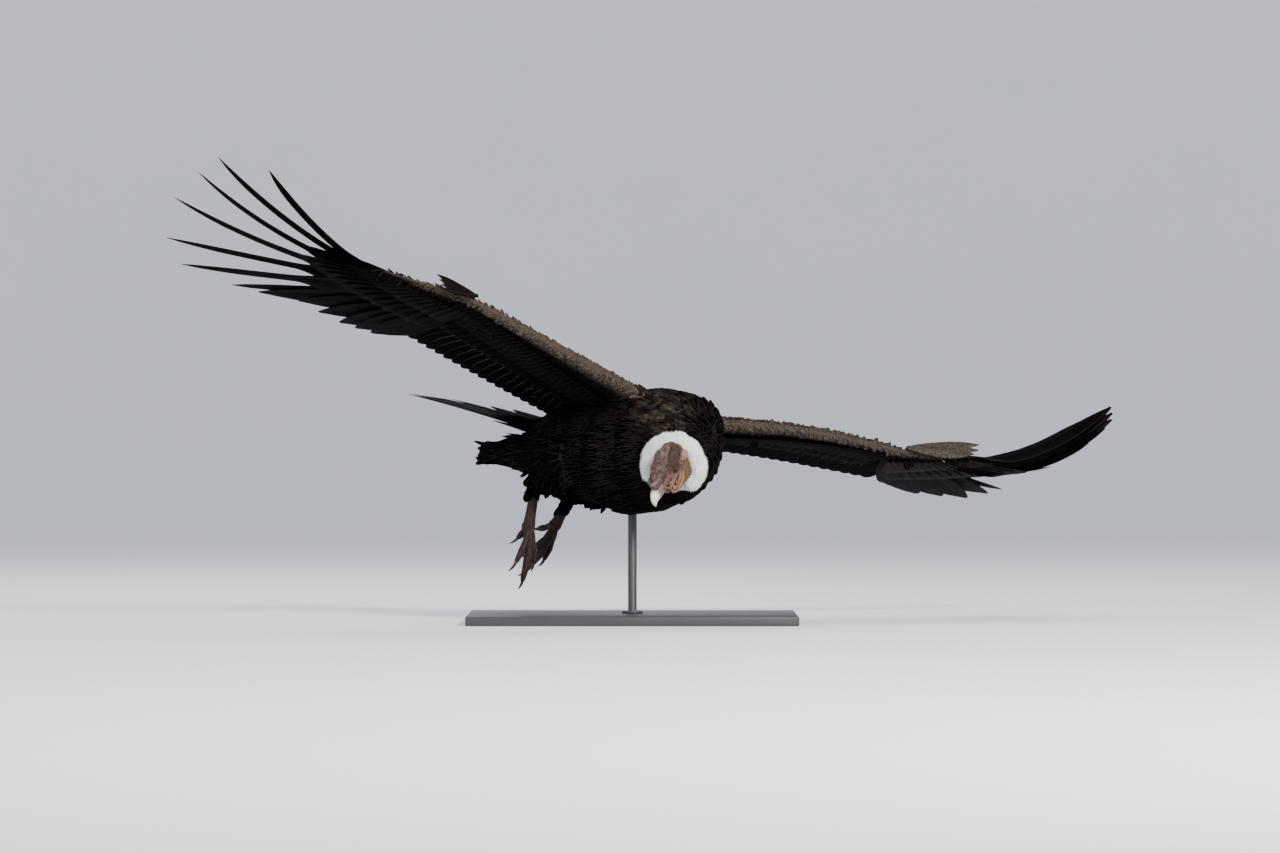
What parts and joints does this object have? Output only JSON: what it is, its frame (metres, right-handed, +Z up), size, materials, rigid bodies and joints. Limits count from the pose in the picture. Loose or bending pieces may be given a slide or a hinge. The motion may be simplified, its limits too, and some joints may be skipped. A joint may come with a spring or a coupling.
{
  "type": "andean condor model",
  "caption": "Life-size still model of an adult male Andean condor in a banked glide, legs hanging, on a plain display stand.",
  "frame": {"origin": "middle of the underside of the stand's base", "axes": "+X to the side of the bird's left wing tip, along the span; +Y away from the side that the bird faces; +Z up"},
  "size_m": [2.3709, 1.416, 1.1352],
  "materials": {
    "plumage": "soft black body feathers",
    "flight_feathers": "stiff satin black feathers",
    "down": "white down",
    "bare_skin": "wrinkled bare skin",
    "comb": "pebbled fleshy comb",
    "bill": "ivory horn, dark at the base",
    "eye": "wet brown eye",
    "foot_skin": "grey scaly skin",
    "claw": "dark horn",
    "stand": "dark satin paint"
  },
  "bodies": {
    "root": {"torso": "plumage", "vent": "plumage", "thigh_right": "plumage", "thigh_left": "plumage", "tail": "flight_feathers", "neck": "bare_skin", "wattle": "bare_skin", "head": "bare_skin", "ruff": "down", "comb": "comb", "bill_upper": "bill", "bill_lower": "bill", "eye_right": "eye", "eye_left": "eye", "wing_right_arm": "plumage", "wing_right_hand": "plumage", "wing_right_primaries": "flight_feathers", "wing_right_secondaries": "flight_feathers", "wing_right_alula": "flight_feathers", "wing_left_arm": "plumage", "wing_left_hand": "plumage", "wing_left_primaries": "flight_feathers", "wing_left_secondaries": "flight_feathers", "wing_left_alula": "flight_feathers", "foot_right": "foot_skin", "foot_left": "foot_skin", "claw_right_middle": "claw", "claw_right_inner": "claw", "claw_right_outer": "claw", "claw_right_hind": "claw", "claw_left_middle": "claw", "claw_left_inner": "claw", "claw_left_outer": "claw", "claw_left_hind": "claw", "stand_base": "stand", "stand_rod": "stand"}
  },
  "joints": []
}
